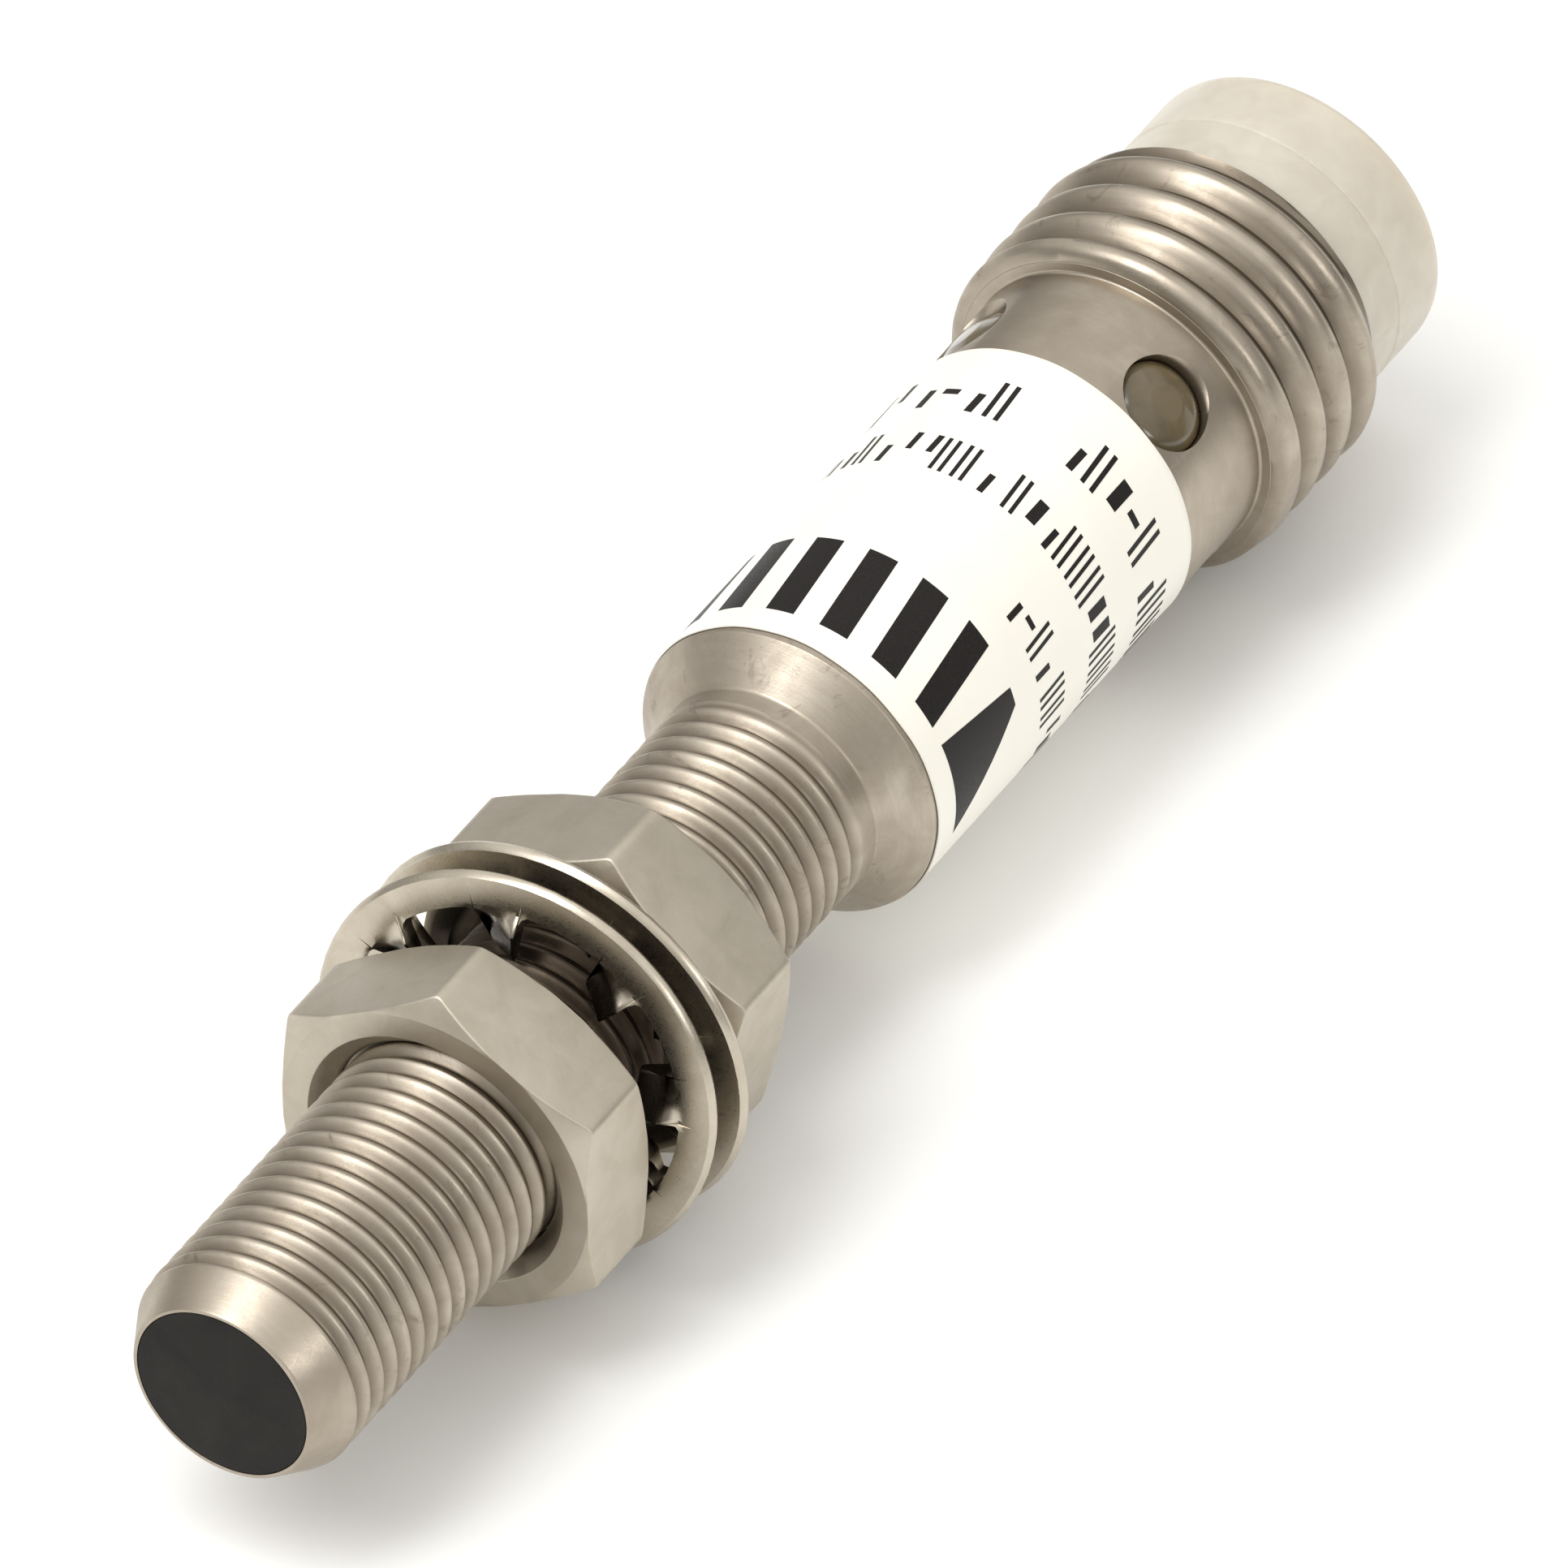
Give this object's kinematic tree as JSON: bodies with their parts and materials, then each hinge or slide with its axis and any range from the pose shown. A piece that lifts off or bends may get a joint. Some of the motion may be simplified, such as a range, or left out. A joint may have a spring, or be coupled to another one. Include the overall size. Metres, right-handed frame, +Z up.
{
  "type": "inductive proximity sensor",
  "caption": "Slim threaded-barrel inductive proximity sensor with hexagon nuts, toothed washers, indicator windows and a capped round plug connector.",
  "frame": {"origin": "centre of the sensing face, the flat dark disc at the barrel's tip", "axes": "+Y along the sensor's axis from the sensing face towards the connector, so the face looks along -Y; +Z up with the sensor lying level"},
  "size_m": [0.0089, 0.041, 0.0088],
  "materials": {
    "plated_body": "warm satin nickel plate or stainless steel, fine turning lines",
    "plated_nut": "satin nickel plate, slightly matt",
    "plated_washer": "satin nickel plate, bright on the twisted teeth",
    "label_film": "white printed film, satin gloss",
    "black_face": "matt dark grey moulded plastic",
    "copper": "enamelled copper",
    "ferrite": "sintered ferrite, dull dark grey",
    "amber_plastic": "amber moulded plastic",
    "board": "green solder mask on glass laminate",
    "chip_black": "black moulded package, tinned ends",
    "chip_tan": "tan sintered ceramic, tinned ends",
    "led": "clear moulded lamp, yellow phosphor",
    "smoked_lens": "olive smoked translucent plastic",
    "insert_black": "black glass-filled plastic",
    "seal_rubber": "black nitrile rubber",
    "solder": "bright solder",
    "resin": "brown casting resin",
    "gold": "gold flash on brass",
    "natural_cap": "natural milky polyethylene, satin"
  },
  "bodies": {
    "housing": {"barrel": "plated_body", "connector_shell": "plated_body", "label": "label_film", "sensing_cap": "black_face", "shield_ring": "copper", "ferrite_core": "ferrite", "coil_former": "amber_plastic", "coil_winding": "copper", "coil_leads": "copper", "circuit_board": "board", "control_chip": "chip_black", "output_transistor": "chip_black", "protection_diode": "chip_black", "chip_resistors": "chip_black", "chip_capacitors": "chip_tan", "status_leds": "led", "light_guide": "smoked_lens", "contact_carrier": "insert_black", "carrier_seal": "seal_rubber", "solder_joints": "solder", "potting_resin": "resin", "contact_pin_1": "gold", "contact_pin_3": "gold", "contact_pin_4": "gold"},
    "front_washer": {"front_washer": "plated_washer"},
    "front_nut": {"front_nut": "plated_nut"},
    "rear_washer": {"rear_washer": "plated_washer"},
    "rear_nut": {"rear_nut": "plated_nut"},
    "protective_cap": {"protective_cap": "natural_cap"}
  },
  "joints": [
    {"name": "front_nut_travel", "type": "slide", "parent": "housing", "child": "front_washer", "axis": [0, 1, 0], "range_m": [-0.007, 0]},
    {"name": "front_nut_spin", "type": "hinge", "parent": "front_washer", "child": "front_nut", "pos_m": [0, 0.009, 0], "axis": [0, 1, 0], "range_deg": [-5041, 0]},
    {"name": "rear_nut_travel", "type": "slide", "parent": "housing", "child": "rear_washer", "axis": [0, 1, 0], "range_m": [0, 0.0042]},
    {"name": "rear_nut_spin", "type": "hinge", "parent": "rear_washer", "child": "rear_nut", "pos_m": [0, 0.0142, 0], "axis": [0, 1, 0], "range_deg": [0, 3025]},
    {"name": "cap_pull", "type": "slide", "parent": "housing", "child": "protective_cap", "axis": [0, 1, 0], "range_m": [0, 0.006]}
  ],
  "couplings": [
    {"joint": "front_nut_spin", "follows": "front_nut_travel", "rad_per_m": 12566},
    {"joint": "rear_nut_spin", "follows": "rear_nut_travel", "rad_per_m": 12566}
  ]
}
